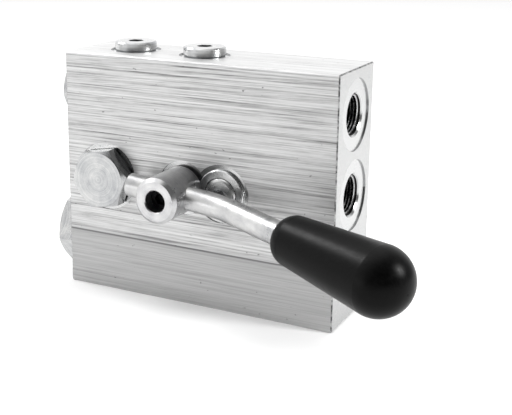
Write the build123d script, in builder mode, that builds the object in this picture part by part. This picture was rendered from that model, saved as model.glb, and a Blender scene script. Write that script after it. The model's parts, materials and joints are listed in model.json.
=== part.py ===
from build123d import *
import os
from math import cos, pi, radians, sin, tan

# Lever-operated hydraulic monoblock valve, in millimetres.
# The origin is the middle of the block's bottom face, +Z is up, +X points at the two service ports
# and the lever side, or front, faces -Y.
#
# Every hole, plug and turned piece is described on the face that it is machined from. There an outline is
# a list of (radius, height) points, with the height counted outwards from the face, so a depth is negative.

os.makedirs("parts", exist_ok=True)

# ---- the block, cut from a flat bar
BLOCK_W = 125.0
BLOCK_D = 38.0
BLOCK_H = 104.0
EDGE_BREAK = 0.5

# ---- where the bores lie
SHAFT_X = -5.0             # lever shaft, and the load check above it
PUMP_CHECK_X = -38.7       # vertical bore of the pump check
METERING_X = 12.8          # lowering-speed screw
TEST_PORT_X = -42.8        # plugged test port on the front
PUMP_PORT_X = -13.0        # pump port on the back
FRONT_Z = 51.0             # height of the shaft and the test port
METERING_Z = 50.7
UPPER_Z = 85.4             # upper gallery, from the cylinder port to its plug on the left
LOWER_Z = 52.4             # return gallery
STRAINER_Z = 20.0          # inlet strainer chamber
MOUNT_Z = 70.0             # mounting holes in the back
MOUNT_SPACING = 90.0

# ---- standard fittings
FIT = 0.05                 # radial clearance of a part that turns or slides in its bore
SCREWED = 0.03             # radial clearance of a part that is screwed in
SPOT_DEPTH = 0.6           # spotfaces round the ports and plugs
PORT_R = 8.33              # G3/8 thread, major radius
PORT_MOUTH_R = 9.1
PORT_SPOT_R = 14.7
SMALL_PORT_R = 6.58        # G1/4 thread, major radius
SMALL_SPOT_R = 10.8
LARGE_PORT_R = 12.0        # M24 thread of the strainer plug
LARGE_SPOT_R = 18.0
WASHER = 1.0               # sealing washer under every plug
THREAD_DEPTH = 12.5        # every threaded hole, below its spotface
MOUNT_R = 3.4              # M8 tapping drill
MOUNT_DEPTH = 10.0
WASHER_GAP = 0.2           # radial clearance of a washer round its thread
ORING_FLAT = 0.4           # how much of an O-ring's half thickness is pressed flat at each corner

# ---- galleries
UPPER_R = 6.5
LOWER_R = 4.5
CHECK_R = 6.0              # vertical bores of the two checks
FEED_R = 5.0               # below the seats
FEED_BEYOND = 6.0          # how far the inlet drilling runs past the pump port
SEAT_LOW = 66.0
SEAT_TOP = 71.0
SEAT_HOLE_R = 3.2
STRAINER_R = 11.0
STRAINER_DEPTH = 36.0
STRAINER_SEAT_R = 8.5

# ---- lever shaft, with heights counted outwards from the front face
JOURNAL_R = 7.5
SHAFT_BORE_R = JOURNAL_R + FIT
HUB_R = 9.5
HUB_FOOT = 1.1
NECK_R = 6.9               # relief of the journal under the hub
NECK_END = -2.0
HUB_END = 23.0
HUB_CHAMFER = 1.4
HUB_SPOT_R = 11.46
HUB_SPOT_DEPTH = 0.5
CLAMP_HOLE_R = 4.5         # M10 clamp screw
ROD_OUT = 10.3             # height of the lever rod's axis above the face
CAM_START = -13.5
CAM_END = -24.5
WEB_END = -26.0
REAR_STEP = -29.0
SHAFT_END = -31.2
REAR_JOURNAL_R = 4.0
END_PLAY = 0.2
CAM_R = 3.0
CAM_OFFSET = 4.0
LEVER_SWING = 50.0         # degrees, shared equally about the cam's level position
SLOT_DEPTH = 4.9
STOP_R = 1.5

# ---- lever
ROD_R = 4.9
LEVER_TILT = -4.6          # degrees, the rod's fall to the right at rest
LEVER_BEND = 22.3          # degrees, outwards from the block
BEND_RADIUS = 50.0
BEND_AT = 21.8
ROD_TAIL = 19.6
KNOB_AT = 36.4             # from the bend's corner
KNOB_LENGTH = 61.0
KNOB_SMALL_R = 9.9
KNOB_LARGE_R = 13.0
KNOB_ROUND = 8.0
KNOB_SOCKET = 28.0

# ---- metering cartridge
METERING_HEAD_R = 10.3
METERING_SPOT_R = 12.4
METERING_DEPTH = 11.5
METERING_TOP = 0.9
SCREW_TOP = 1.6
SCREW_HEAD_R = 6.87
SCREW_R = 5.5
NEEDLE_R = 3.0
NEEDLE_BORE_R = 5.0
NEEDLE_BORE_END = -25.0

SIDES = {
    "front": ((1, 0, 0), (0, -1, 0)),
    "back": ((-1, 0, 0), (0, 1, 0)),
    "left": ((0, -1, 0), (-1, 0, 0)),
    "right": ((0, 1, 0), (1, 0, 0)),
    "top": ((1, 0, 0), (0, 0, 1)),
}


def on_face(side, x, z):
    """A plane on one face of the block, its normal pointing outwards and its y axis up."""
    x_dir, z_dir = SIDES[side]
    origin = {
        "front": (x, -BLOCK_D / 2, z),
        "back": (x, BLOCK_D / 2, z),
        "left": (-BLOCK_W / 2, 0, z),
        "right": (BLOCK_W / 2, 0, z),
        "top": (x, 0, BLOCK_H),
    }[side]
    return Plane(origin=origin, x_dir=x_dir, z_dir=z_dir)


def turned(plane, outline, mode=Mode.ADD):
    """Turn an outline of (radius, height) points about the plane's normal."""
    section = Plane(origin=plane.origin, x_dir=plane.x_dir, z_dir=-plane.y_dir)
    with BuildSketch(section) as profile:
        with BuildLine():
            Polyline(*outline, close=True)
        make_face()
    revolve(profile.sketch, axis=Axis(plane.origin, plane.z_dir), mode=mode)


def cylinder(plane, radius, low, high, mode=Mode.ADD):
    turned(plane, [(0, low), (radius, low), (radius, high), (0, high)], mode)


def ring(plane, inner, outer, low, high):
    turned(plane, [(inner, low), (outer, low), (outer, high), (inner, high)])


def hex_socket(plane, across_flats, low, high, turn=0):
    with BuildSketch(plane.offset(low)) as socket:
        RegularPolygon(across_flats / 2, 6, major_radius=False, rotation=turn)
    extrude(socket.sketch, amount=high - low, mode=Mode.SUBTRACT)


def oring(plane, inner, outer, height):
    """An O-ring seated in its groove, slightly flattened where it touches the groove and the bore."""
    half = (outer - inner) / 2
    cut = half * ORING_FLAT
    turned(plane, [
        (inner, height - half + cut), (inner + cut, height - half), (outer - cut, height - half),
        (outer, height - half + cut), (outer, height + half - cut), (outer - cut, height + half),
        (inner + cut, height + half), (inner, height + half - cut),
    ])


def threaded_cavity(plane, spot_r, spot_depth, thread_r, thread_depth, mouth):
    """A spotface and a threaded hole with a chamfered mouth, cut from the block."""
    floor = -spot_depth
    turned(plane, [
        (0, 1), (spot_r, 1), (spot_r, floor), (thread_r + mouth, floor), (thread_r, floor - mouth),
        (thread_r, floor - thread_depth), (0, floor - thread_depth),
    ], Mode.SUBTRACT)


def save(piece, label):
    piece.part.label = label
    export_step(piece.part, f"parts/{label}.step")


upper_port = on_face("right", 0, UPPER_Z)
lower_port = on_face("right", 0, LOWER_Z)
gallery_end = on_face("left", 0, UPPER_Z)
strainer_end = on_face("left", 0, STRAINER_Z)
test_port = on_face("front", TEST_PORT_X, FRONT_Z)
shaft_axis = on_face("front", SHAFT_X, FRONT_Z)
metering_axis = on_face("front", METERING_X, METERING_Z)
rear_access = on_face("back", SHAFT_X, FRONT_Z)
pump_port = on_face("back", PUMP_PORT_X, STRAINER_Z)
pump_check_axis = on_face("top", PUMP_CHECK_X, 0)
load_check_axis = on_face("top", SHAFT_X, 0)
MOUTH = PORT_MOUTH_R - PORT_R
SMALL_MOUTH = 0.5

# ======== valve block ========
with BuildPart() as valve_block:
    with BuildSketch(Plane.XY):
        Rectangle(BLOCK_W, BLOCK_D)
    extrude(amount=BLOCK_H)
    chamfer(valve_block.edges(), length=EDGE_BREAK)

    # the two service ports and the port on the back, then the plugged mouths
    for face in (upper_port, lower_port, gallery_end, test_port, pump_port):
        threaded_cavity(face, PORT_SPOT_R, SPOT_DEPTH, PORT_R, THREAD_DEPTH, MOUTH)
    threaded_cavity(strainer_end, LARGE_SPOT_R, SPOT_DEPTH, LARGE_PORT_R, THREAD_DEPTH, MOUTH)
    threaded_cavity(rear_access, PORT_SPOT_R, SPOT_DEPTH, PORT_R, BLOCK_D + REAR_STEP - SPOT_DEPTH, MOUTH)
    threaded_cavity(metering_axis, METERING_SPOT_R, SPOT_DEPTH, PORT_R, METERING_DEPTH, MOUTH)
    for face in (pump_check_axis, load_check_axis):
        threaded_cavity(face, SMALL_SPOT_R, SPOT_DEPTH, SMALL_PORT_R, THREAD_DEPTH, SMALL_MOUTH)

    # galleries that run across the block
    cylinder(upper_port, UPPER_R, -BLOCK_W + THREAD_DEPTH, -THREAD_DEPTH, Mode.SUBTRACT)
    cylinder(lower_port, LOWER_R, SHAFT_X - BLOCK_W / 2, -THREAD_DEPTH, Mode.SUBTRACT)
    feed_low = -BLOCK_W / 2 - PUMP_PORT_X - FEED_BEYOND
    cylinder(strainer_end, STRAINER_R, -STRAINER_DEPTH, -THREAD_DEPTH, Mode.SUBTRACT)
    cylinder(strainer_end, STRAINER_SEAT_R, feed_low, -STRAINER_DEPTH, Mode.SUBTRACT)
    cylinder(pump_port, UPPER_R, -BLOCK_D / 2, -THREAD_DEPTH, Mode.SUBTRACT)
    cylinder(test_port, UPPER_R, -BLOCK_D / 2, -THREAD_DEPTH, Mode.SUBTRACT)
    cylinder(metering_axis, NEEDLE_BORE_R, NEEDLE_BORE_END, -METERING_DEPTH, Mode.SUBTRACT)

    # vertical bores of the two checks
    for face, feed_end in ((pump_check_axis, STRAINER_Z), (load_check_axis, FRONT_Z)):
        cylinder(face, CHECK_R, SEAT_LOW - BLOCK_H, -THREAD_DEPTH, Mode.SUBTRACT)
        cylinder(face, FEED_R, feed_end - BLOCK_H, SEAT_LOW - BLOCK_H, Mode.SUBTRACT)

    # lever shaft bore, its shallow spotface and the half hole of the stop pin
    turned(shaft_axis, [
        (0, 1), (HUB_SPOT_R, 1), (HUB_SPOT_R, -HUB_SPOT_DEPTH), (SHAFT_BORE_R, -HUB_SPOT_DEPTH),
        (SHAFT_BORE_R, WEB_END - END_PLAY), (REAR_JOURNAL_R + FIT, WEB_END - END_PLAY),
        (REAR_JOURNAL_R + FIT, REAR_STEP - 1), (0, REAR_STEP - 1),
    ], Mode.SUBTRACT)
    with BuildSketch(shaft_axis.offset(-SLOT_DEPTH)):
        with Locations((0, -JOURNAL_R)):
            Circle(STOP_R)
    extrude(amount=SLOT_DEPTH, mode=Mode.SUBTRACT)

    # two tapped mounting holes in the back
    with Locations(on_face("back", 0, MOUNT_Z)):
        with GridLocations(MOUNT_SPACING, 1, 2, 1):
            Hole(MOUNT_R, depth=MOUNT_DEPTH)
save(valve_block, "valve_block")


# ======== hexagon plugs and their washers ========
HEAD_CHAMFER = radians(30)
HEAD_FACE = 0.97           # the turned face's diameter, as a share of the width across flats
UNDERCUT = 1.0             # depth of the undercut where the thread runs out
UNDERCUT_END = 2.2
DRILLING_R = 4.0           # the plug is drilled out to save weight
DRILLING_SHOULDER = -3.5
DRILLING_TIP = -1.5


def hex_plug(face, across_flats, top, thread_r, shank, turn):
    """A hexagon plug: chamfered head, relief groove, and a threaded shank drilled light."""
    under = WASHER - SPOT_DEPTH
    corner_r = across_flats / 3 ** 0.5
    face_r = across_flats / 2 * HEAD_FACE
    shank_r = thread_r - SCREWED
    with BuildPart() as plug:
        with BuildSketch(face.offset(under)) as head:
            RegularPolygon(across_flats / 2, 6, major_radius=False, rotation=turn)
        extrude(head.sketch, amount=top - under)
        turned(face, [
            (face_r, top), (corner_r + 1, top - (corner_r + 1 - face_r) * tan(HEAD_CHAMFER)),
            (corner_r + 1, top + 1), (face_r, top + 1),
        ], Mode.SUBTRACT)
        turned(face, [
            (0, under), (shank_r - UNDERCUT, under), (shank_r - UNDERCUT, under - UNDERCUT_END),
            (shank_r, under - UNDERCUT_END - 0.8), (shank_r, -shank + 1), (shank_r - 1, -shank),
            (DRILLING_R, -shank), (DRILLING_R, DRILLING_SHOULDER), (0, DRILLING_TIP),
        ])
    return plug


for label, face, across_flats, top, thread_r, shank, turn in (
    ("test_port_plug", test_port, 24, 6.6, PORT_R, 11, 10),
    ("gallery_plug", gallery_end, 24, 6.6, PORT_R, 11, 56),
    ("strainer_plug", strainer_end, 30, 9.4, LARGE_PORT_R, 11.5, -7),
):
    save(hex_plug(face, across_flats, top, thread_r, shank, turn), label)
    with BuildPart() as washer:
        ring(face, thread_r + WASHER_GAP, across_flats / 2 * 0.98, -SPOT_DEPTH, WASHER - SPOT_DEPTH)
    save(washer, f"{label}_washer")


# ======== socket plugs: two over the checks, one over the shaft's rear end ========
SOCKET_PLUG_TOP = 3.8
SOCKET_PLUG_KEY_DEPTH = 6.0
FLANGE_CHAMFER = 0.5
THREAD_CHAMFER = 0.8
SMALL_UNDERCUT_END = 1.5
GUIDE_DEPTH = 6.8
KEY_TURN = 15


def socket_plug(face, head_r, top, thread_r, shank, key, guide=None):
    """A flanged plug with a hexagon socket, and for a check a blind hole that guides the poppet."""
    under = WASHER - SPOT_DEPTH
    shank_r = thread_r - SCREWED
    with BuildPart() as plug:
        turned(face, [
            (0, top), (head_r - FLANGE_CHAMFER, top), (head_r, top - FLANGE_CHAMFER), (head_r, under),
            (shank_r - THREAD_CHAMFER, under), (shank_r - THREAD_CHAMFER, under - SMALL_UNDERCUT_END),
            (shank_r, under - SMALL_UNDERCUT_END - THREAD_CHAMFER), (shank_r, -shank + THREAD_CHAMFER),
            (shank_r - THREAD_CHAMFER, -shank), (0, -shank),
        ])
        hex_socket(face, key, top - SOCKET_PLUG_KEY_DEPTH, top, KEY_TURN)
        if guide:
            cylinder(face, guide, -shank, -shank + GUIDE_DEPTH, Mode.SUBTRACT)
    return plug


PLUG_UNDER = 13.0                      # depth of the check plugs' ends
CHECK_PLUG_R = 9.0
CHECK_PLUG_KEY = 6
CHECK_WASHER_R = 8.6
STEM_R = 1.8
STEM_FIT = 0.08
for label, face in (("pump_check_plug", pump_check_axis), ("load_check_plug", load_check_axis)):
    check_plug = socket_plug(
        face, CHECK_PLUG_R, SOCKET_PLUG_TOP, SMALL_PORT_R, PLUG_UNDER, CHECK_PLUG_KEY, STEM_R + STEM_FIT
    )
    save(check_plug, label)
    with BuildPart() as washer:
        ring(face, SMALL_PORT_R + WASHER_GAP, CHECK_WASHER_R, -SPOT_DEPTH, WASHER - SPOT_DEPTH)
    save(washer, f"{label}_washer")

REAR_PLUG_R = 11.0
REAR_PLUG_SHANK = 6.0
REAR_PLUG_KEY = 8
REAR_WASHER_R = 10.7
rear_plug = socket_plug(rear_access, REAR_PLUG_R, SOCKET_PLUG_TOP, PORT_R, REAR_PLUG_SHANK, REAR_PLUG_KEY)
save(rear_plug, "rear_plug")
with BuildPart() as washer:
    ring(rear_access, PORT_R + WASHER_GAP, REAR_WASHER_R, -SPOT_DEPTH, WASHER - SPOT_DEPTH)
save(washer, "rear_plug_washer")

# ======== the two checks: seat, poppet and spring ========
SEAT_MOUTH = 1.0                       # 45-degree seat
SEAT_GAP = 0.07
POPPET_R = 4.6
POPPET_TOP = 74.5
STEM_TOP = 93.0
SPRING_R = 3.1                         # to the middle of the wire
WIRE_R = 0.5
SPRING_TURNS = 7
SPRING_GAP = 0.05
nose_r = 2.6
nose_z = SEAT_TOP - SEAT_MOUTH - SEAT_HOLE_R + nose_r + SEAT_GAP
cone_z = nose_z + POPPET_R - nose_r


def coil_spring(x, low, high, mean_r, wire_r, turns):
    rise = high - low - 2 * wire_r
    with BuildPart() as spring:
        with BuildLine(Plane(origin=(x, 0, low + wire_r))) as path:
            Helix(pitch=rise / turns, height=rise, radius=mean_r)
        with BuildSketch(Plane(origin=path.line @ 0, z_dir=path.line % 0)):
            Circle(wire_r)
        sweep(is_frenet=True)
    return spring


for label, x in (("pump_check", PUMP_CHECK_X), ("load_check", SHAFT_X)):
    axis = Plane(origin=(x, 0, 0))
    with BuildPart() as seat:
        turned(axis, [
            (SEAT_HOLE_R, SEAT_LOW), (CHECK_R - SCREWED, SEAT_LOW), (CHECK_R - SCREWED, SEAT_TOP),
            (SEAT_HOLE_R + SEAT_MOUTH, SEAT_TOP), (SEAT_HOLE_R, SEAT_TOP - SEAT_MOUTH),
        ])
    save(seat, f"{label}_seat")
    with BuildPart() as poppet:
        turned(axis, [
            (0, nose_z), (nose_r, nose_z), (POPPET_R, cone_z), (POPPET_R, POPPET_TOP),
            (STEM_R, POPPET_TOP), (STEM_R, STEM_TOP), (0, STEM_TOP),
        ])
    save(poppet, f"{label}_poppet")
    spring_high = BLOCK_H - PLUG_UNDER - SPRING_GAP
    spring = coil_spring(x, POPPET_TOP + SPRING_GAP, spring_high, SPRING_R, WIRE_R, SPRING_TURNS)
    save(spring, f"{label}_spring")

# ======== lifter between the cam and the load check ========
CAM_GAP = 0.1
FOOT_R = FEED_R - 0.1
FOOT_THICK = 1.5
LIFTER_R = 1.6
PASSAGES = 4
PASSAGE_R = 0.9
PASSAGE_CIRCLE_R = 3.3
foot_z = FRONT_Z - CAM_OFFSET * sin(radians(LEVER_SWING / 2)) + CAM_R + CAM_GAP
with BuildPart() as lifter:
    axis = Plane(origin=(SHAFT_X, 0, 0))
    cylinder(axis, FOOT_R, foot_z, foot_z + FOOT_THICK)
    cylinder(axis, LIFTER_R, foot_z, nose_z - 0.02)
    with BuildSketch(axis.offset(foot_z)) as passages:
        with PolarLocations(PASSAGE_CIRCLE_R, PASSAGES, 45):
            Circle(PASSAGE_R)
    extrude(passages.sketch, amount=FOOT_THICK, mode=Mode.SUBTRACT)
save(lifter, "load_check_lifter")

# ======== lever shaft ========
GROOVE_R = 6.2
GROOVE_HALF = 1.1
CLIP_GROOVE_R = 3.2
ORING_HEIGHTS = {"front_shaft_oring": -7.4, "rear_shaft_oring": -10.9}
CIRCLIP_LOW = REAR_STEP - 1.75
CIRCLIP_HIGH = REAR_STEP - 0.75
THRUST_R = 7.0
tilt = radians(LEVER_TILT)
bend = radians(LEVER_BEND)
lever_dir = (cos(tilt), 0, sin(tilt))
lever_plane = Plane(
    origin=(SHAFT_X, -BLOCK_D / 2 - ROD_OUT, FRONT_Z), x_dir=lever_dir, z_dir=(sin(tilt), 0, -cos(tilt))
)

with BuildPart() as lever_shaft:
    turned(shaft_axis, [
        (0, HUB_END), (HUB_R - HUB_CHAMFER, HUB_END), (HUB_R, HUB_END - HUB_CHAMFER), (HUB_R, HUB_FOOT),
        (NECK_R, HUB_FOOT), (NECK_R, NECK_END), (JOURNAL_R, NECK_END - JOURNAL_R + NECK_R),
        (JOURNAL_R, CAM_START), (0, CAM_START),
    ])
    for height in ORING_HEIGHTS.values():
        turned(shaft_axis, [
            (GROOVE_R, height - GROOVE_HALF), (JOURNAL_R + 1, height - GROOVE_HALF),
            (JOURNAL_R + 1, height + GROOVE_HALF), (GROOVE_R, height + GROOVE_HALF),
        ], Mode.SUBTRACT)
    with BuildSketch(shaft_axis.offset(CAM_END)) as cam:
        with PolarLocations(CAM_OFFSET, 1, -LEVER_SWING / 2):
            Circle(CAM_R)
    extrude(cam.sketch, amount=CAM_START - CAM_END)
    turned(shaft_axis, [
        (0, CAM_END), (JOURNAL_R - 0.1, CAM_END), (JOURNAL_R - 0.1, WEB_END), (REAR_JOURNAL_R, WEB_END),
        (REAR_JOURNAL_R, SHAFT_END + 0.4), (REAR_JOURNAL_R - 0.4, SHAFT_END), (0, SHAFT_END),
    ])
    turned(shaft_axis, [
        (CLIP_GROOVE_R, CIRCLIP_LOW - FIT), (REAR_JOURNAL_R + 1, CIRCLIP_LOW - FIT),
        (REAR_JOURNAL_R + 1, CIRCLIP_HIGH + FIT), (CLIP_GROOVE_R, CIRCLIP_HIGH + FIT),
    ], Mode.SUBTRACT)
    # the slot that turns about the stop pin, and at rest has the pin at its end
    with BuildSketch(shaft_axis.offset(-SLOT_DEPTH)) as stop_slot:
        with BuildLine(mode=Mode.PRIVATE) as stop_arc:
            CenterArc((0, 0), JOURNAL_R, -90 - LEVER_SWING, LEVER_SWING)
        SlotArc(stop_arc.edge(), 2 * STOP_R + 0.3)
    extrude(stop_slot.sketch, amount=SLOT_DEPTH + HUB_FOOT, mode=Mode.SUBTRACT)
    # the cross hole for the rod, and the threaded hole for its clamp screw
    with BuildSketch(Plane(origin=lever_plane.origin, z_dir=lever_dir)) as rod_hole:
        Circle(ROD_R + SCREWED)
    extrude(rod_hole.sketch, amount=HUB_R + 2, both=True, mode=Mode.SUBTRACT)
    turned(shaft_axis, [
        (0, ROD_OUT), (CLAMP_HOLE_R, ROD_OUT), (CLAMP_HOLE_R, HUB_END - 0.4), (CLAMP_HOLE_R + 0.4, HUB_END),
        (CLAMP_HOLE_R + 0.4, HUB_END + 1), (0, HUB_END + 1),
    ], Mode.SUBTRACT)
save(lever_shaft, "lever_shaft")

for label, height in ORING_HEIGHTS.items():
    with BuildPart() as shaft_oring:
        oring(shaft_axis, GROOVE_R + 0.01, SHAFT_BORE_R - 0.02, height)
    save(shaft_oring, label)

CIRCLIP_R = 6.2
CIRCLIP_OPENING = 2.6
with BuildPart() as circlip:
    with BuildSketch(shaft_axis.offset(CIRCLIP_LOW)) as clip:
        Circle(CIRCLIP_R)
        Circle(CLIP_GROOVE_R + FIT, mode=Mode.SUBTRACT)
        with Locations((0, -CIRCLIP_R)):
            Rectangle(CIRCLIP_OPENING, 2 * CIRCLIP_R - CLIP_GROOVE_R, mode=Mode.SUBTRACT)
    extrude(clip.sketch, amount=CIRCLIP_HIGH - CIRCLIP_LOW)
save(circlip, "shaft_circlip")

# the washer between the circlip and the floor of the rear hole
with BuildPart() as thrust_washer:
    ring(shaft_axis, REAR_JOURNAL_R + 0.1, THRUST_R, CIRCLIP_HIGH + FIT, REAR_STEP)
save(thrust_washer, "thrust_washer")

with BuildPart() as stop_pin:
    with BuildSketch(shaft_axis.offset(-SLOT_DEPTH + 0.1)) as pin_end:
        with Locations((0, -JOURNAL_R)):
            Circle(STOP_R - 0.01)
    extrude(pin_end.sketch, amount=SLOT_DEPTH - 0.1 - HUB_SPOT_DEPTH - 0.05)
save(stop_pin, "stop_pin")

# ======== lever rod, its clamp screw and the knob ========
arm_dir = (cos(bend) * lever_dir[0], -sin(bend), cos(bend) * lever_dir[2])
bend_corner = Vector(*lever_plane.origin) + Vector(*lever_dir) * BEND_AT
rod_end = KNOB_AT + KNOB_SOCKET
with BuildPart() as lever_rod:
    with BuildLine(lever_plane) as rod_line:
        FilletPolyline(
            (-ROD_TAIL, 0), (BEND_AT, 0), (BEND_AT + rod_end * cos(bend), rod_end * sin(bend)),
            radius=BEND_RADIUS,
        )
    with BuildSketch(Plane(origin=rod_line.line @ 0, z_dir=rod_line.line % 0)):
        Circle(ROD_R)
    sweep()
    ends = lever_rod.edges().filter_by(GeomType.CIRCLE).sort_by(Axis.X)
    chamfer((ends[0], ends[-1]), length=0.8)
save(lever_rod, "lever_rod")

CLAMP_LOW = ROD_OUT + ROD_R + 0.02
CLAMP_TOP = CLAMP_LOW + 2.6
CLAMP_KEY = 5
CLAMP_KEY_DEPTH = 1.8
with BuildPart() as clamp_screw:
    cylinder(shaft_axis, CLAMP_HOLE_R - SCREWED, CLAMP_LOW, CLAMP_TOP)
    hex_socket(shaft_axis, CLAMP_KEY, CLAMP_TOP - CLAMP_KEY_DEPTH, CLAMP_TOP)
save(clamp_screw, "rod_clamp_screw")

knob_plane = Plane(origin=bend_corner + Vector(*arm_dir) * KNOB_AT, z_dir=arm_dir)
INSERT_R = 7.0
INSERT_AT = 4.0
INSERT_LENGTH = 22.0
with BuildPart() as knob:
    section = Plane(origin=knob_plane.origin, x_dir=knob_plane.x_dir, z_dir=-knob_plane.y_dir)
    with BuildSketch(section) as half:
        with BuildLine():
            small_end = Line((0, 0), (KNOB_SMALL_R - KNOB_ROUND, 0))
            shoulder = RadiusArc(small_end @ 1, (KNOB_SMALL_R, KNOB_ROUND), -KNOB_ROUND)
            side = Line(shoulder @ 1, (KNOB_LARGE_R, KNOB_LENGTH - KNOB_LARGE_R))
            dome = RadiusArc(side @ 1, (0, KNOB_LENGTH), -KNOB_LARGE_R)
            Line(dome @ 1, (0, 0))
        make_face()
    revolve(half.sketch, axis=Axis(knob_plane.origin, knob_plane.z_dir))
    cylinder(knob_plane, ROD_R + 0.2, -1, INSERT_AT, Mode.SUBTRACT)
    cylinder(knob_plane, INSERT_R, INSERT_AT, KNOB_SOCKET + 2, Mode.SUBTRACT)
save(knob, "lever_knob")

with BuildPart() as knob_insert:
    ring(knob_plane, ROD_R + 0.02, INSERT_R - 0.02, INSERT_AT + FIT, INSERT_AT + INSERT_LENGTH)
save(knob_insert, "knob_insert")

# ======== metering cartridge: sleeve, turning screw and sliding needle ========
SCREW_SHOULDER = -0.3
SCREW_END = -5.2
SLEEVE_FLOOR = -7.0
SCREW_BORE_R = SCREW_R + 0.08
HEAD_GAP = 0.25
SOCKET_DEPTH = 4.5
SCREW_KEY = 6
RELIEF_R = PORT_R - 1.2
GROOVE = (-3.6, -1.8)         # the screw's O-ring groove
GROOVE_DEPTH = 1.2
TANG_R = 2.5
TANG_END = -3.7
NEEDLE_SHOULDER = -18.0
NEEDLE_TIP = -20.5
seat = -SPOT_DEPTH
head_bore_r = SCREW_HEAD_R + HEAD_GAP
with BuildPart() as metering_sleeve:
    turned(metering_axis, [
        (head_bore_r, METERING_TOP - 0.1), (head_bore_r + 0.1, METERING_TOP),
        (METERING_HEAD_R - 0.4, METERING_TOP), (METERING_HEAD_R, METERING_TOP - 0.4),
        (METERING_HEAD_R, seat), (RELIEF_R, seat), (RELIEF_R, seat - 1.6),
        (PORT_R - SCREWED, seat - 2), (PORT_R - SCREWED, -METERING_DEPTH), (NEEDLE_R + FIT, -METERING_DEPTH),
        (NEEDLE_R + FIT, SLEEVE_FLOOR), (SCREW_BORE_R, SLEEVE_FLOOR),
        (SCREW_BORE_R, SCREW_SHOULDER - 0.5), (head_bore_r, SCREW_SHOULDER - 0.5),
    ])
save(metering_sleeve, "metering_sleeve")

with BuildPart() as sleeve_oring:
    oring(metering_axis, RELIEF_R + 0.02, PORT_R - 0.02, seat - 0.8)
save(sleeve_oring, "metering_sleeve_oring")

with BuildPart() as metering_screw:
    turned(metering_axis, [
        (0, SCREW_TOP), (SCREW_HEAD_R - 1.2, SCREW_TOP), (SCREW_HEAD_R - 0.4, SCREW_TOP - 0.3),
        (SCREW_HEAD_R, SCREW_TOP - 0.9), (SCREW_HEAD_R, SCREW_SHOULDER), (SCREW_R, SCREW_SHOULDER),
        (SCREW_R, GROOVE[1]), (SCREW_R - GROOVE_DEPTH, GROOVE[1]), (SCREW_R - GROOVE_DEPTH, GROOVE[0]),
        (SCREW_R, GROOVE[0]), (SCREW_R, SCREW_END), (TANG_R + 0.1, SCREW_END),
        (TANG_R + 0.1, TANG_END + 0.1), (0, TANG_END + 0.1),
    ])
    hex_socket(metering_axis, SCREW_KEY, SCREW_TOP - SOCKET_DEPTH, SCREW_TOP, 8)
save(metering_screw, "metering_screw")

with BuildPart() as screw_oring:
    oring(metering_axis, SCREW_R - GROOVE_DEPTH + 0.01, SCREW_BORE_R - 0.02, sum(GROOVE) / 2)
save(screw_oring, "metering_screw_oring")

with BuildPart() as needle:
    turned(metering_axis, [
        (0, TANG_END), (TANG_R, TANG_END), (TANG_R, SCREW_END - 1.1), (NEEDLE_R, SCREW_END - 1.1),
        (NEEDLE_R, NEEDLE_SHOULDER), (1.0, NEEDLE_TIP), (0, NEEDLE_TIP),
    ])
save(needle, "metering_needle")

# ======== inlet strainer ========
TUBE_R = 8.4
TUBE_WALL = 0.8
STRAINER_NEAR = -12.0
STRAINER_FAR = -40.0
HOLE_ROWS = 5
HOLES_ROUND = 10
ROW_SPACING = 4.0
HOLE_R = 0.9
with BuildPart() as strainer:
    turned(strainer_end, [
        (TUBE_R - TUBE_WALL, STRAINER_FAR), (TUBE_R, STRAINER_FAR), (TUBE_R, STRAINER_NEAR), (0, STRAINER_NEAR),
        (0, STRAINER_NEAR - TUBE_WALL), (TUBE_R - TUBE_WALL, STRAINER_NEAR - TUBE_WALL),
    ])
    for row in range(HOLE_ROWS):
        depth = STRAINER_NEAR - (row + 1) * ROW_SPACING
        for step in range(HOLES_ROUND):
            angle = 2 * pi * (step + row % 2 / 2) / HOLES_ROUND
            outwards = (0, cos(angle), sin(angle))
            centre = Vector(-BLOCK_W / 2 - depth, 0, STRAINER_Z) + Vector(*outwards) * (TUBE_R - 2)
            with BuildSketch(Plane(origin=centre, z_dir=outwards)) as opening:
                Circle(HOLE_R)
            extrude(opening.sketch, amount=3, mode=Mode.SUBTRACT)
save(strainer, "inlet_strainer")
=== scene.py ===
# %% [markdown]
# # A hydraulic valve block with a hand lever
# The valve is a block cut from drawn aluminium bar. Oil galleries are drilled through it and closed with
# zinc-plated plugs, a turned steel hub stands out of its front, and a bent steel rod with a black plastic
# knob passes through the hub. Turning the lever lowers the load.
#
# The shapes come from the CAD frame, which holds every piece in metres at its real place. This lesson
# gives them their finishes, cuts the threads that can be seen inside the ports, and sets up a studio.

# %% Load the frame
import json
from math import pi, radians

import bmesh
import bpy
from mathutils import Matrix, Vector


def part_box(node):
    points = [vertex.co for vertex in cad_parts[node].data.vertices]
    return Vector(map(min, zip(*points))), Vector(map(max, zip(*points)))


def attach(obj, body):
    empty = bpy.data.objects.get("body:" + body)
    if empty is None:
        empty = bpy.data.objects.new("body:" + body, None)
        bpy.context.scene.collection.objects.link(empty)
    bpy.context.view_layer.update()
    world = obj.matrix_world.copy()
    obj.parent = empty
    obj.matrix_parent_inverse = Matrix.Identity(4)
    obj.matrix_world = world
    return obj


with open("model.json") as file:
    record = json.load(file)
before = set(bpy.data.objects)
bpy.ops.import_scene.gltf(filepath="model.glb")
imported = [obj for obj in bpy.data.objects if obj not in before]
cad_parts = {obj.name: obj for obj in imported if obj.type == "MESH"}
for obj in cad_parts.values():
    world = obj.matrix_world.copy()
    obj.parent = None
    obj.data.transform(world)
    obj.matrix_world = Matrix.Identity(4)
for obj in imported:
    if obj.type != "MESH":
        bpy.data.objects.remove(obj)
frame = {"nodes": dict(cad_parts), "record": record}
nodes = frame["nodes"]
mounts = {mount["name"]: mount for mount in frame["record"]["mounts"]}
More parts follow.
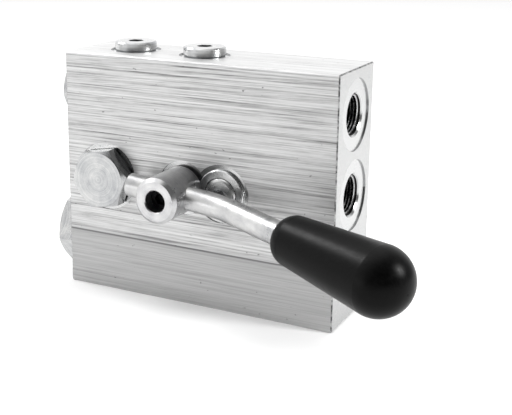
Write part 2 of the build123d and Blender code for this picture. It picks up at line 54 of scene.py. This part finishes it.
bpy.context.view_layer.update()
MM = 0.001

# %% [markdown]
# ## Helpers for materials
# Every material is a small tree of nodes. Building one by hand in the editor means adding a node, typing
# its settings and drawing its links, so one function here does just that: sockets are given a number, a
# colour or another node's output, and everything else is a setting of the node itself.
# Colours are picked as hex values on a screen, and a renderer needs them as amounts of light, so one more
# function turns the first into the second.

# %% Nodes and colours
def linear(hex_colour):
    """An sRGB hex colour as linear red, green, blue and alpha."""
    parts = [int(hex_colour[i:i + 2], 16) / 255 for i in (1, 3, 5)]
    return tuple(c / 12.92 if c <= 0.04045 else ((c + 0.055) / 1.055) ** 2.4 for c in parts) + (1.0,)


def put(tree, kind, sockets=None, **settings):
    """Add a node, set its settings, then fill its sockets with values or with other nodes' outputs."""
    node = tree.nodes.new(kind if kind.startswith("ShaderNode") else "ShaderNode" + kind)
    for name, value in settings.items():
        setattr(node, name, value)
    for socket, value in (sockets or {}).items():
        if isinstance(value, bpy.types.NodeSocket):
            tree.links.new(value, node.inputs[socket])
        else:
            node.inputs[socket].default_value = value
    return node


def new_material(name):
    """An empty material with its tree and the object's own coordinates, in metres."""
    material = bpy.data.materials.new(name)
    material.use_nodes = True
    tree = material.node_tree
    tree.nodes.clear()
    return material, tree, put(tree, "TexCoord")


def surface(tree, shader_sockets):
    """Close a material with one principled shader."""
    shader = put(tree, "BsdfPrincipled", shader_sockets)
    put(tree, "OutputMaterial", {"Surface": shader.outputs["BSDF"]})


def math(tree, operation, first, second=0.0, third=0.0):
    """One sum, with numbers or outputs."""
    return put(tree, "Math", {0: first, 1: second, 2: third}, operation=operation).outputs[0]


def stretched_noise(tree, place, per_metre, detail=3.0, roughness=0.5):
    """Noise whose patches are as many per metre along x, y and z as asked: uneven numbers make streaks."""
    scaled = put(tree, "Mapping", {"Vector": place, "Scale": per_metre})
    noise = put(tree, "TexNoise", {
        "Vector": scaled.outputs[0], "Scale": 1.0, "Detail": detail, "Roughness": roughness,
    })
    return noise.outputs["Fac"]


def fit(tree, value, low, high, to_low, to_high):
    """Move a value from one range to another, and hold it there."""
    return put(tree, "MapRange", {
        "Value": value, "From Min": low, "From Max": high, "To Min": to_low, "To Max": to_high,
    }, clamp=True).outputs[0]


def shade(tree, value, stops):
    """A colour picked along a ramp of (position, hex colour) stops."""
    ramp = put(tree, "ValToRGB", {"Fac": value})
    elements = ramp.color_ramp.elements
    while len(elements) < len(stops):
        elements.new(0.5)
    for element, (position, colour) in zip(elements, stops):
        element.position = position
        element.color = linear(colour)
    return ramp.outputs["Color"]


def dress(material, *names):
    """Give CAD nodes a material."""
    for name in names:
        mesh = nodes[name].data
        mesh.materials.clear()
        mesh.materials.append(material)
    print(material.name, "on", len(names), "nodes")


# %% [markdown]
# ## The bar that the block is cut from
# Extruded aluminium bar is drawn through a die, and every burr of the die leaves a line along the whole bar.
# On this block the bar ran along X, so its front, back, top and bottom carry long straight lines, some broad
# and some as fine as a hair, with short scratches a little askew and a few dark handling marks. The two ends
# are milled, which leaves a matt, even grey.
#
# An image of brushed metal would do for one view. Noise stretched along X does it for the whole block,
# because a patch of noise that is long in one direction is a streak. The real lines are a tenth of a
# millimetre apart, too fine to show from here, so they are drawn about six and twelve times as coarse.
# A mask made from the surface's own direction keeps the streaks off the ends.

# %% The block's faces
block, block_tree, at = new_material("drawn_aluminium_bar")
place = at.outputs["Object"]
facing = put(block_tree, "SeparateXYZ", {0: at.outputs["Normal"]})
here = put(block_tree, "SeparateXYZ", {0: place})
end_face = fit(block_tree, math(block_tree, "ABSOLUTE", facing.outputs["X"]), 0.5, 0.9, 0.0, 1.0)

FINE_RATE, BROAD_RATE = 1700, 820
SCRATCH_LEAN = radians(2.5)
fine_lines = stretched_noise(block_tree, place, (9, FINE_RATE, FINE_RATE), 2.0, 0.7)
mid_lines = stretched_noise(block_tree, place, (14, BROAD_RATE, BROAD_RATE), 3.0, 0.65)
askew = put(block_tree, "Mapping", {"Vector": place, "Rotation": (0, SCRATCH_LEAN, 0)}).outputs[0]
scratches = stretched_noise(block_tree, askew, (45, FINE_RATE, FINE_RATE), 3.0, 0.75)
drawn_bands = stretched_noise(block_tree, place, (2, 75, 75), 2.0, 0.5)
patches = stretched_noise(block_tree, place, (60, 130, 130), 6.0, 0.65)
grain = stretched_noise(block_tree, place, (2200, 2200, 2200), 2.0, 0.7)
specks = stretched_noise(block_tree, place, (420, 700, 700), 1.0, 0.5)
print("fine streaks about", round(1000 / FINE_RATE, 2), "mm apart, broader ones", round(1000 / BROAD_RATE, 1))

# %% [markdown]
# ## Turned and milled details of the block
# Round each port and plug the block is spotfaced: a cutter leaves a shallow round pocket with fine rings.
# Each pocket lies just under its face, so a point is in one if it is below the face and near the axis.
# The distance from the axis also draws the rings, and paints shade into the bore inside the pocket: painted
# shade that stands for the dark of the deep hole, where no bright metal shows.

# %% Spotfaces and bores
BLOCK_LOW, BLOCK_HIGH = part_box("valve_block")


def centred_on(tree, place, centre):
    """A place, measured from a point."""
    return put(tree, "VectorMath", {0: place, 1: centre}, operation="SUBTRACT").outputs[0]


def from_axis(tree, centred, axis):
    """Distance from the axis through the centre, counted only across it."""
    level = put(tree, "VectorMath", {0: centred, 1: ACROSS[axis]}, operation="MULTIPLY")
    return put(tree, "VectorMath", {0: level.outputs[0]}, operation="LENGTH").outputs["Value"]


def middle(name):
    """The middle of a CAD node's box."""
    low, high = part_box(name)
    return (low + high) / 2


ACROSS = {"X": (0, 1, 1), "Y": (1, 0, 1), "Z": (1, 1, 0)}
# radii of the pockets, and how deep under its face a pocket starts and ends, in millimetres
PORT_SPOT_R, STRAINER_SPOT_R, TOP_SPOT_R = 14.7, 18.0, 10.8
HUB_SPOT_R, METERING_SPOT_R = 11.46, 12.4
BORE_R = 8.4
SKIN, SPOT_REACH = 0.05, 16
RING_GAP = 0.55
spots = [
    (Vector(mounts["cylinder_port"]["pos_m"]), "X", BLOCK_HIGH.x, PORT_SPOT_R),
    (Vector(mounts["return_port"]["pos_m"]), "X", BLOCK_HIGH.x, PORT_SPOT_R),
    (Vector(mounts["pump_port"]["pos_m"]), "Y", BLOCK_HIGH.y, PORT_SPOT_R),
    (middle("test_port_plug_washer"), "Y", BLOCK_LOW.y, PORT_SPOT_R),
    (middle("rear_plug_washer"), "Y", BLOCK_HIGH.y, PORT_SPOT_R),
    (middle("lever_shaft"), "Y", BLOCK_LOW.y, HUB_SPOT_R),
    (middle("metering_sleeve"), "Y", BLOCK_LOW.y, METERING_SPOT_R),
    (middle("gallery_plug_washer"), "X", BLOCK_LOW.x, PORT_SPOT_R),
    (middle("strainer_plug_washer"), "X", BLOCK_LOW.x, STRAINER_SPOT_R),
    (middle("pump_check_plug_washer"), "Z", BLOCK_HIGH.z, TOP_SPOT_R),
    (middle("load_check_plug_washer"), "Z", BLOCK_HIGH.z, TOP_SPOT_R),
]
spot_mask, spot_rings, bore_shade_mask = 0.0, 0.0, 0.0
for centre, axis, face, radius in spots:
    distance = from_axis(block_tree, centred_on(block_tree, place, centre), axis)
    inside = math(block_tree, "LESS_THAN", distance, (radius + SKIN) * MM)
    depth = math(block_tree, "ABSOLUTE", math(block_tree, "SUBTRACT", here.outputs[axis], face))
    cut = math(block_tree, "GREATER_THAN", depth, SKIN * MM)
    shallow = math(block_tree, "LESS_THAN", depth, SPOT_REACH * MM)
    in_spot = math(block_tree, "MULTIPLY", math(block_tree, "MULTIPLY", inside, cut), shallow)
    rings = math(block_tree, "SINE", math(block_tree, "MULTIPLY", distance, 2 * pi / (RING_GAP * MM)))
    spot_mask = math(block_tree, "MAXIMUM", spot_mask, in_spot)
    spot_rings = math(block_tree, "MULTIPLY_ADD", rings, in_spot, spot_rings)
    # painted shade: the bore's wall inside each pocket is darkened, standing in for its shadow
    in_bore = math(block_tree, "LESS_THAN", distance, BORE_R * MM)
    bore_shade_mask = math(block_tree, "MAXIMUM", bore_shade_mask, math(block_tree, "MULTIPLY", in_bore, in_spot))
print("spotfaces", len(spots))

# %% [markdown]
# ## One finish from all of it
# The patterns are added up by how much each shows, and the sum picks a grey from a ramp. The rest is painted
# over it, from the widest thing to the smallest: the smoother zone under the die line, the line itself, the
# top, the milled ends, the spotfaces and bores, the ragged edges and the specks. The same sum, as a height,
# gives the relief, so light and dark lines are also ridges and grooves.

# %% The block's colour, gloss and relief
def blend_colour(tree, amount, first, second):
    """Mix two colours."""
    return put(tree, "Mix", {0: amount, 6: first, 7: second}, data_type="RGBA").outputs[2]


streaks = 0.0
for pattern, share in (
    (mid_lines, 0.14), (fine_lines, 0.42), (scratches, 0.28), (patches, 0.12), (drawn_bands, 0.04),
):
    streaks = math(block_tree, "MULTIPLY_ADD", pattern, share, streaks)

LOWER_FRONT_SHADE_GREY, LINE_GREY, TOP_LIGHT_GREY = linear("#8E8E8E"), linear("#4A4A4C"), linear("#E4E4E4")
BORE_SHADE_BLACK, BURR_BLACK, SPECK_GREY = linear("#1E1E1F"), linear("#2A2A2B"), linear("#4A4A4B")

# one deep die line runs the length of the front, with a soft shade above it, and under it the bar is smoother
# and painted a little greyer, as painted shade for the darker lower part of the front
LINE_Z = 0.0250
HALO_REACH = 4.0
front_face = fit(block_tree, facing.outputs["Y"], -0.9, -0.99, 0.0, 1.0)
above_line = math(block_tree, "SUBTRACT", here.outputs["Z"], LINE_Z)
below = fit(block_tree, above_line, -0.4 * MM, 0.4 * MM, 1.0, 0.0)
smooth_and_shaded = math(block_tree, "MULTIPLY", below, front_face)
calm = math(block_tree, "MULTIPLY_ADD", streaks, 0.35, 0.305)
streaks = put(block_tree, "Mix", {0: smooth_and_shaded, 2: streaks, 3: calm}).outputs[0]
colour = shade(block_tree, streaks, [
    (0.36, "#6C6C6C"), (0.43, "#A4A4A4"), (0.50, "#C6C6C6"), (0.60, "#DCDCDC"),
])
# painted shade: the zone under the die line is darkened towards a grey
colour = blend_colour(block_tree, math(block_tree, "MULTIPLY", smooth_and_shaded, 0.30), colour, LOWER_FRONT_SHADE_GREY)
line = fit(block_tree, math(block_tree, "ABSOLUTE", above_line), 0.12 * MM, 0.7 * MM, 0.75, 0.0)
halo = fit(block_tree, above_line, 0.0, HALO_REACH * MM, 0.22, 0.0)
halo = math(block_tree, "MULTIPLY", halo, math(block_tree, "GREATER_THAN", above_line, 0.0))
line = math(block_tree, "MULTIPLY", math(block_tree, "MAXIMUM", line, halo), front_face)
line = math(block_tree, "MULTIPLY", line, fit(block_tree, drawn_bands, 0.35, 0.6, 0.45, 1.0))
colour = blend_colour(block_tree, line, colour, LINE_GREY)

# the top is painted lighter and more even: painted light for a face that catches the bright overhead light
# and is seen along its streaks
painted_top_light = fit(block_tree, facing.outputs["Z"], 0.8, 1.0, 0.0, 0.4)
colour = blend_colour(block_tree, painted_top_light, colour, TOP_LIGHT_GREY)
end_colour = shade(block_tree, grain, [(0.3, "#BEBFC0"), (0.7, "#D6D6D5")])
colour = blend_colour(block_tree, end_face, colour, end_colour)
ring_tone = fit(block_tree, spot_rings, -1, 1, 0, 1)
spot_colour = shade(block_tree, ring_tone, [(0.2, "#B4B5B6"), (0.8, "#D4D4D3")])
colour = blend_colour(block_tree, spot_mask, colour, spot_colour)
# painted shade inside the bores
colour = blend_colour(block_tree, math(block_tree, "MULTIPLY", bore_shade_mask, 0.85), colour, BORE_SHADE_BLACK)

# the saw leaves a burr round each end, which is broken by hand and stays dark and ragged
turning = math(block_tree, "ABSOLUTE", facing.outputs["X"])
leaving, arriving = fit(block_tree, turning, 0.3, 0.5, 0, 1), fit(block_tree, turning, 0.95, 0.8, 0, 1)
edge = math(block_tree, "MULTIPLY", leaving, arriving)
edge = math(block_tree, "MULTIPLY", edge, math(block_tree, "SUBTRACT", 1.0, spot_mask))
nicks = stretched_noise(block_tree, place, (500, 500, 500), 4.0, 0.6)
ragged = fit(block_tree, nicks, 0.36, 0.62, 0.15, 0.9)
colour = blend_colour(block_tree, math(block_tree, "MULTIPLY", edge, ragged), colour, BURR_BLACK)
dark_specks = fit(block_tree, specks, 0.76, 0.80, 0.0, 0.6)
colour = blend_colour(block_tree, dark_specks, colour, SPECK_GREY)

gloss = math(block_tree, "MULTIPLY_ADD", patches, 0.16, 0.41)
SPOT_GLOSS = 0.22
gloss = put(block_tree, "Mix", {0: spot_mask, 2: gloss, 3: SPOT_GLOSS}).outputs[0]
relief = math(block_tree, "MULTIPLY", streaks, math(block_tree, "SUBTRACT", 1.0, end_face))
relief = math(block_tree, "MULTIPLY_ADD", grain, 0.10, relief)
relief = math(block_tree, "MULTIPLY", relief, math(block_tree, "SUBTRACT", 1.0, spot_mask))
relief = math(block_tree, "MULTIPLY_ADD", spot_rings, 0.05, relief)
bump = put(block_tree, "Bump", {"Height": relief, "Strength": 0.35, "Distance": 0.06 * MM})
surface(block_tree, {
    "Base Color": colour, "Metallic": 1.0, "Roughness": gloss, "Normal": bump.outputs[0],
})
dress(block, "valve_block")

# %% [markdown]
# ## Turned steel with a bright zinc plate
# The plugs are turned from hexagon bar and zinc plated. The lathe leaves fine rings round each plug's own
# axis, so the ring pattern has to be centred on every plug, and one function makes the finish for a piece
# and its axis. The plate is bright and slightly blue, with small stains and scratches from the spanner.

# %% A finish with rings about an axis
def turned_metal(name, node, axis, colours, roughness, ring_mm, ring_bump, stain=0.5):
    """Turned metal: rings about the node's axis, stains, and hairline scratches."""
    material, tree, at = new_material(name)
    centred = centred_on(tree, at.outputs["Object"], middle(node))
    distance = from_axis(tree, centred, axis)
    along = put(tree, "SeparateXYZ", {0: centred}).outputs[axis]
    sweep = put(tree, "CombineXYZ", {0: math(tree, "ADD", distance, along)})
    rings = stretched_noise(tree, sweep.outputs[0], (1000 / ring_mm, 1, 1), 3.0, 0.6)
    stains = stretched_noise(tree, at.outputs["Object"], (170, 170, 170), 5.0, 0.6)
    hairs = stretched_noise(tree, at.outputs["Object"], (1900, 260, 1300), 2.0, 0.7)
    mixed = math(tree, "MULTIPLY_ADD", stains, stain, math(tree, "MULTIPLY", rings, 1 - stain))
    colour = shade(tree, mixed, list(zip((0.32, 0.46, 0.62), colours)))
    gloss = math(tree, "MULTIPLY_ADD", stains, 0.16, roughness - 0.08)
    relief = math(tree, "MULTIPLY_ADD", hairs, 0.3, rings)
    bump = put(tree, "Bump", {"Height": relief, "Strength": ring_bump, "Distance": 0.03 * MM})
    surface(tree, {"Base Color": colour, "Metallic": 1.0, "Roughness": gloss, "Normal": bump.outputs[0]})
    return material


ZINC = ("#96989B", "#B3B4B5", "#CACAC9")
WASHER_ZINC = ("#86888B", "#A4A6A8", "#BFC0C1")
METERING_ZINC = ("#A8AAAC", "#C6C7C8", "#DADAD9")
for node, axis in (
    ("test_port_plug", "Y"), ("gallery_plug", "X"), ("strainer_plug", "X"), ("rear_plug", "Y"),
    ("pump_check_plug", "Z"), ("load_check_plug", "Z"),
):
    dress(turned_metal("zinc_plate_" + node, node, axis, ZINC, 0.22, 0.7, 0.25), node)
    washer = node + "_washer"
    dress(turned_metal("zinc_washer_" + node, washer, axis, WASHER_ZINC, 0.35, 0.5, 0.3), washer)
for node in ("metering_sleeve", "metering_screw"):
    dress(turned_metal("zinc_plate_" + node, node, "Y", METERING_ZINC, 0.26, 0.6, 0.25), node)

# %% [markdown]
# ## The lever's steel
# The hub is turned and left as it comes off the lathe: a satin skin with close rings. The rod is drawn
# bright bar, polished lengthwise. Handling has dulled it to a satin, with faint long lines and a little
# staining where oily hands leave their mark.

# %% Hub and rod
BARE_STEEL = ("#A2A3A5", "#C3C3C4", "#D8D8D7")
hub = turned_metal("turned_bright_steel", "lever_shaft", "Y", BARE_STEEL, 0.30, 0.45, 0.35)
dress(hub, "lever_shaft")

rod, rod_tree, at = new_material("polished_drawn_steel_rod")
rod_place = at.outputs["Object"]
long_lines = stretched_noise(rod_tree, rod_place, (14, 900, 900), 3.0, 0.6)
smears = stretched_noise(rod_tree, rod_place, (120, 160, 160), 5.0, 0.65)
rod_colour = shade(rod_tree, smears, [(0.3, "#A2A3A5"), (0.5, "#BEBEBE"), (0.7, "#D0D0CF")])
rod_gloss = fit(rod_tree, smears, 0.35, 0.75, 0.26, 0.42)
rod_bump = put(rod_tree, "Bump", {"Height": long_lines, "Strength": 0.12, "Distance": 0.03 * MM})
surface(rod_tree, {
    "Base Color": rod_colour, "Metallic": 1.0, "Roughness": rod_gloss, "Normal": rod_bump.outputs[0],
})
dress(rod, "lever_rod")

# %% [markdown]
# ## The inner steel parts
# Seats, poppets, springs, pins and the strainer never see daylight. They are ground or wound steel with a
# film of oil: darker than the plugs, fairly glossy, with the fine marks of the grinding wheel. Black oxide
# makes the clamp screw and the circlip nearly black, and the clamp screw's black is also painted shade for
# the deep hole in the hub. Machined brass is a warm yellow, and the O-rings are nitrile rubber, matt and
# black.

# %% Ground steel, black oxide, brass and seals
def plain_metal(name, colours, roughness, per_metre, bump_strength):
    """Metal with an even grain: a colour ramp over noise, gloss that varies, and fine relief."""
    material, tree, at = new_material(name)
    grain = stretched_noise(tree, at.outputs["Object"], per_metre, 4.0, 0.6)
    cloud = stretched_noise(tree, at.outputs["Object"], (210, 210, 210), 3.0, 0.5)
    colour = shade(tree, cloud, list(zip((0.35, 0.65), colours)))
    gloss = math(tree, "MULTIPLY_ADD", cloud, 0.2, roughness - 0.1)
    bump = put(tree, "Bump", {"Height": grain, "Strength": bump_strength, "Distance": 0.02 * MM})
    surface(tree, {"Base Color": colour, "Metallic": 1.0, "Roughness": gloss, "Normal": bump.outputs[0]})
    return material


dress(
    plain_metal("ground_oiled_steel", ("#7E8083", "#A2A4A6"), 0.28, (1800, 400, 1800), 0.3),
    "pump_check_seat", "pump_check_poppet", "pump_check_spring", "load_check_seat", "load_check_poppet",
    "load_check_spring", "load_check_lifter", "stop_pin", "metering_needle", "inlet_strainer",
)
# the clamp screw is black oxide, and its black also stands in as painted shade for the deep hole in the hub
dress(
    plain_metal("black_oxide_steel", ("#141414", "#232324"), 0.4, (900, 900, 900), 0.3),
    "rod_clamp_screw", "shaft_circlip",
)
dress(
    plain_metal("machined_brass", ("#A8854A", "#C9A765"), 0.3, (1500, 300, 1500), 0.3),
    "thrust_washer", "knob_insert",
)

rubber, rubber_tree, at = new_material("nitrile_rubber")
skin = stretched_noise(rubber_tree, at.outputs["Object"], (1200, 1200, 1200), 3.0, 0.6)
rubber_bump = put(rubber_tree, "Bump", {"Height": skin, "Strength": 0.3, "Distance": 0.03 * MM})
surface(rubber_tree, {
    "Base Color": shade(rubber_tree, skin, [(0.3, "#121213"), (0.7, "#1E1E1F")]),
    "Roughness": fit(rubber_tree, skin, 0.3, 0.7, 0.45, 0.6), "Normal": rubber_bump.outputs[0],
})
dress(rubber, "front_shaft_oring", "rear_shaft_oring", "metering_sleeve_oring", "metering_screw_oring")

# %% [markdown]
# ## The knob
# The knob is pressed from black thermoset plastic. It comes out of a polished mould, so it has a satin shine,
# with very faint orange peel and, after some use, tiny bright scuffs.

# %% Black moulded plastic
knob, knob_tree, at = new_material("black_moulded_phenolic")
knob_place = at.outputs["Object"]
peel = stretched_noise(knob_tree, knob_place, (900, 900, 900), 3.0, 0.6)
scuffs = stretched_noise(knob_tree, knob_place, (300, 1400, 700), 4.0, 0.7)
knob_bump = put(knob_tree, "Bump", {"Height": peel, "Strength": 0.25, "Distance": 0.06 * MM})
surface(knob_tree, {
    "Base Color": shade(knob_tree, scuffs, [(0.4, "#030303"), (0.7, "#070707")]),
    "Roughness": fit(knob_tree, scuffs, 0.35, 0.75, 0.30, 0.42),
    "Specular IOR Level": 0.09, "Normal": knob_bump.outputs[0],
})
dress(knob, "lever_knob")

# %% [markdown]
# ## The threads inside the ports
# The CAD bores are plain, at the thread's full depth. What is seen in a port is the ridge of the thread,
# which winds inwards like the stripe on a barber's pole. A screw modifier could make it, and so can the spin
# operator: it turns a small outline about the axis, and moves it along by one pitch for each turn. The
# outline sinks a hair into the wall, so no gap shows along its foot.

# %% Cut the threads
THREADS_PER_INCH = 19
PITCH = 25.4 / THREADS_PER_INCH * MM
RIDGE = 0.856 * MM
SINK = 0.03 * MM
FOOT_HALF, CREST_HALF = 0.44, 0.09
STEPS_PER_TURN = 48
SHARP_FROM = radians(35)


def thread_ridge(name, mount):
    """A winding ridge that fills a threaded mount's plain bore."""
    root = mount["dims"]["r_mm"] * MM + SINK
    crest = root - RIDGE
    turns = int(mount["dims"]["length_mm"] * MM / PITCH)
    bm = bmesh.new()
    outline = [(root, -FOOT_HALF), (crest, -CREST_HALF), (crest, CREST_HALF), (root, FOOT_HALF)]
    corners = [bm.verts.new((radius, 0, offset * PITCH)) for radius, offset in outline]
    loop = [bm.edges.new((corners[i - 1], corners[i])) for i in range(len(corners))]
    bmesh.ops.rotate(bm, cent=(0, 0, 0), matrix=Matrix.Rotation(-pi / 2, 3, "Z"), verts=bm.verts)
    bmesh.ops.spin(
        bm, geom=corners + loop, cent=(0, 0, 0), axis=(0, 0, 1), dvec=(0, 0, PITCH / STEPS_PER_TURN),
        angle=2 * pi * turns, steps=turns * STEPS_PER_TURN, use_merge=False, use_duplicate=False,
    )
    bmesh.ops.holes_fill(bm, edges=bm.edges, sides=len(outline))
    bmesh.ops.recalc_face_normals(bm, faces=bm.faces)
    bmesh.ops.translate(bm, vec=(0, 0, -turns * PITCH / 2), verts=bm.verts)
    turn = Vector((0, 0, 1)).rotation_difference(Vector(mount["axis"])).to_matrix()
    bmesh.ops.rotate(bm, cent=(0, 0, 0), matrix=turn, verts=bm.verts)
    bmesh.ops.translate(bm, vec=mount["pos_m"], verts=bm.verts)
    mesh = bpy.data.meshes.new(name)
    bm.to_mesh(mesh)
    bm.free()
    piece = bpy.data.objects.new(name, mesh)
    bpy.context.scene.collection.objects.link(piece)
    mesh.shade_smooth()
    mesh.set_sharp_from_angle(angle=SHARP_FROM)
    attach(piece, "valve_body")
    print(name, "turns", turns, "faces", len(mesh.polygons))
    return piece


BRIGHT_R, DARK_R = 7.6, 8.35


def cut_thread(mount_name, axis):
    """Freshly cut aluminium, bright at the thread's crest; painted shade darkens it towards its root."""
    material, tree, at = new_material("cut_aluminium_" + mount_name)
    radius = from_axis(tree, centred_on(tree, at.outputs["Object"], mounts[mount_name]["pos_m"]), axis)
    tears = stretched_noise(tree, at.outputs["Object"], (800, 800, 800), 4.0, 0.6)
    height = math(tree, "MULTIPLY_ADD", tears, 0.3 * MM, radius)
    depth = fit(tree, height, BRIGHT_R * MM, DARK_R * MM, 0, 1)
    # painted shade: the colour runs from bright at the crest to near black at the root
    colour = shade(tree, depth, [(0.1, "#DADADA"), (0.55, "#7A7A7B"), (0.9, "#141415")])
    gloss = fit(tree, tears, 0.3, 0.7, 0.2, 0.34)
    bump = put(tree, "Bump", {"Height": tears, "Strength": 0.3, "Distance": 0.03 * MM})
    surface(tree, {"Base Color": colour, "Metallic": 1.0, "Roughness": gloss, "Normal": bump.outputs[0]})
    return material


for mount_name, axis in (("cylinder_port", "X"), ("return_port", "X"), ("pump_port", "Y")):
    ridge = thread_ridge(mount_name + "_thread", mounts[mount_name])
    ridge.data.materials.append(cut_thread(mount_name, axis))

# %% [markdown]
# ## Floor
# The valve stands on a white sheet of paper. A lit plane would turn grey away from the lamps, so it also
# glows a little by itself, which keeps it white right to the edge of the picture.

# %% Floor
FLOOR_HALF = 6.0
FLOOR_GLOW = 0.26
bm = bmesh.new()
bmesh.ops.create_grid(bm, x_segments=1, y_segments=1, size=FLOOR_HALF)
floor_mesh = bpy.data.meshes.new("floor")
bm.to_mesh(floor_mesh)
bm.free()
floor = bpy.data.objects.new("floor", floor_mesh)
bpy.context.scene.collection.objects.link(floor)
white, white_tree, at = new_material("white_paper_sweep")
surface(white_tree, {
    "Base Color": linear("#E6E6E6"), "Roughness": 0.9, "Specular IOR Level": 0.0,
    "Emission Color": linear("#FFFFFF"), "Emission Strength": FLOOR_GLOW,
})
floor_mesh.materials.append(white)
floor.location.z = BLOCK_LOW.z

# %% [markdown]
# ## Studio
# Bright metal shows mostly what is around it, so the studio is part of the look. The world is bright on the
# left and behind, and dark at the front right, which puts the dark edges into polished steel. A soft light
# hangs overhead, a key light stands high on the left, a small strong one on the right draws the highlight on
# the knob, and a low one at the front left fills the front.

# %% World and lights
world = bpy.data.worlds.new("studio")
bpy.context.scene.world = world
world.use_nodes = True
sky_tree = world.node_tree
sky_tree.nodes.clear()
sky_at = put(sky_tree, "TexCoord")
toward = put(sky_tree, "SeparateXYZ", {0: sky_at.outputs["Generated"]})
SKY_STOPS = [(0.30, "#484848"), (0.42, "#707070"), (0.50, "#B8B8B8"), (0.57, "#E8E8E8"), (0.75, "#F8F8F8")]
SKY_STRENGTH = 1.4
open_side = 0.0
for axis, share in (("Y", 0.4), ("Z", 0.1), ("X", -0.8)):
    open_side = math(sky_tree, "MULTIPLY_ADD", toward.outputs[axis], share, open_side)
reach = fit(sky_tree, open_side, -1.0, 1.0, 0.0, 1.0)
sky = put(sky_tree, "Background", {"Color": shade(sky_tree, reach, SKY_STOPS), "Strength": SKY_STRENGTH})
put(sky_tree, "OutputWorld", {"Surface": sky.outputs[0]})


def soft_light(name, where, aim, width, height, watts):
    """A rectangular lamp at a point, turned to face another."""
    lamp = bpy.data.lights.new(name, "AREA")
    lamp.shape = "RECTANGLE"
    lamp.size, lamp.size_y = width, height
    lamp.energy = watts
    holder = bpy.data.objects.new(name, lamp)
    holder.location = where
    holder.rotation_euler = (Vector(aim) - Vector(where)).to_track_quat("-Z", "Y").to_euler()
    bpy.context.scene.collection.objects.link(holder)
    print(name, watts, "W")


HEART = (0.0, 0.0, 0.05)
soft_light("overhead", (-0.05, 0.05, 0.9), HEART, 0.8, 0.6, 1.2)
soft_light("key_left", (-0.80, 0.05, 0.87), HEART, 0.36, 0.28, 5.0)
soft_light("fill_right", (0.98, 0.15, 0.60), HEART, 0.20, 0.34, 9.0)
soft_light("front_low", (-0.90, -1.30, 0.14), HEART, 0.8, 0.3, 1.5)

# %% [markdown]
# ## Camera
# A long lens stands a little above the valve and to its right, so that both service ports and the whole front
# are seen. Its axes are given as three directions, which is exact and needs no angles. The lens is shifted,
# so the valve sits off the middle of the picture without the camera being turned.

# %% Camera
RIGHT = Vector((0.88487964, 0.46579999, 0.00428745))
UP = Vector((-0.11857927, 0.21634493, 0.96908917))
BACK = Vector((0.45047416, -0.85803568, 0.24667345))
STANDS_AT = (0.19724, -0.37675, 0.16992)
LENS_MM, SHIFT_RIGHT, SHIFT_UP = 72.46, 0.0825, -0.1035
lens = bpy.data.cameras.new("camera")
lens.sensor_width = 36.0
lens.lens = LENS_MM
lens.shift_x = SHIFT_RIGHT
lens.shift_y = SHIFT_UP
lens.clip_end = 50.0
camera = bpy.data.objects.new("camera", lens)
turned = Matrix((RIGHT, UP, BACK)).transposed().to_4x4()
camera.matrix_world = Matrix.Translation(STANDS_AT) @ turned
bpy.context.scene.collection.objects.link(camera)
bpy.context.scene.camera = camera
bpy.context.scene.view_settings.view_transform = "Standard"
print("camera at", [round(v, 3) for v in camera.location])
